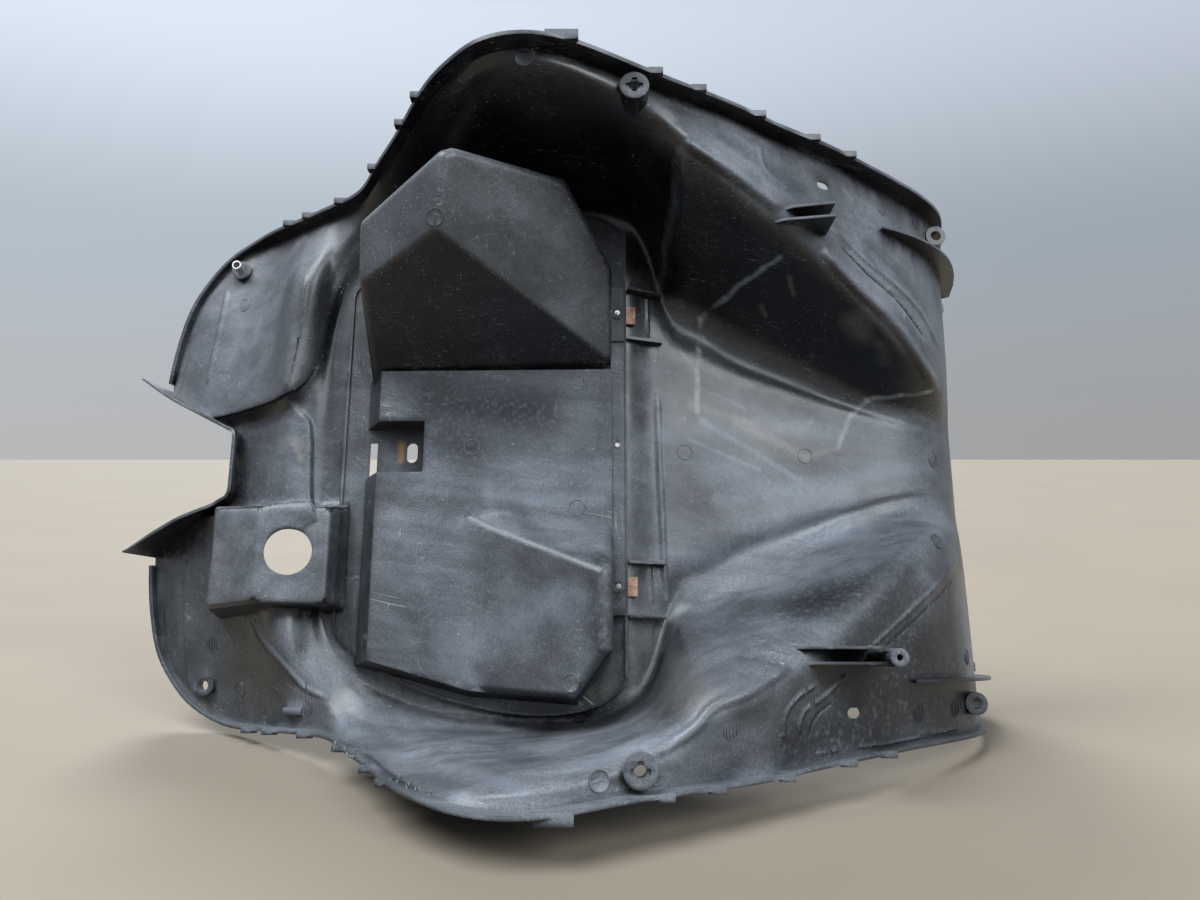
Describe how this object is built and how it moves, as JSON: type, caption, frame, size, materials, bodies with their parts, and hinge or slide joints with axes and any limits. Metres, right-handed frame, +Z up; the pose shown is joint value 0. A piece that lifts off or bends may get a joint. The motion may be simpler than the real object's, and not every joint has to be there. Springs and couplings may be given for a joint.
{
  "type": "scooter inner leg shield panel",
  "caption": "Inner leg shield moulding of a scooter with a glovebox tub, steering notch, ignition lock housing and fixing bosses, seen from its hidden side.",
  "frame": {"origin": "midway between the holes of the two side bosses, on the plane of symmetry", "axes": "+Z up the shield, +X to the rider's left, +Y towards the rider, so the hidden side with the bosses faces -Y"},
  "size_m": [0.4658, 0.2876, 0.6833],
  "materials": {
    "shield_plastic": "semi-gloss, dusty and scratched",
    "tub_plastic": "semi-gloss, dusty and scratched",
    "screw_steel": "dull plated",
    "clip_steel": "rusty",
    "sleeve_steel": "worn bright"
  },
  "bodies": {
    "root": {"leg_shield": "shield_plastic", "glovebox_tub": "tub_plastic", "hinge_screw_left": "screw_steel", "hinge_screw_right": "screw_steel", "hinge_clip_left": "clip_steel", "hinge_clip_right": "clip_steel", "hinge_peg": "screw_steel", "fixing_sleeve": "sleeve_steel"}
  },
  "joints": []
}
